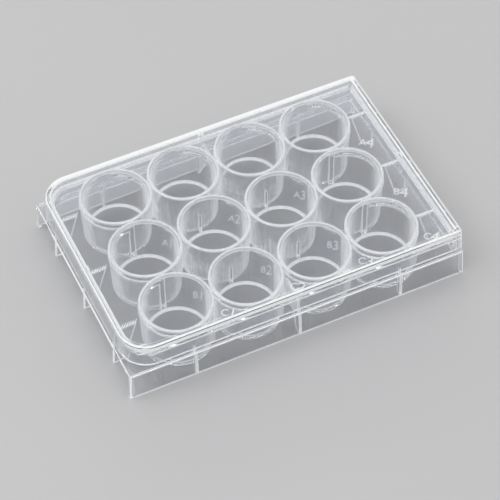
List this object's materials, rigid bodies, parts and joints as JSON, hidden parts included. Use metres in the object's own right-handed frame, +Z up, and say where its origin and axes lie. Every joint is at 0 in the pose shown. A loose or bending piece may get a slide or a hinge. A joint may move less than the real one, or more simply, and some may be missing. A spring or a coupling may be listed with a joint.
{
  "type": "well plate",
  "caption": "Clear moulded plate with rows of round flat-bottomed wells, open gusseted short sides and a loose lid with a raised edge.",
  "frame": {"origin": "centre of the footprint, on the surface the plate stands on", "axes": "+X along the long side towards the square corners, +Y towards row A, +Z up"},
  "size_m": [0.1278, 0.0854, 0.0221],
  "materials": {
    "plate": "clear moulded polystyrene",
    "lid": "clear moulded polystyrene"
  },
  "bodies": {
    "root": {"plate": "plate", "lid": "lid"}
  },
  "joints": []
}
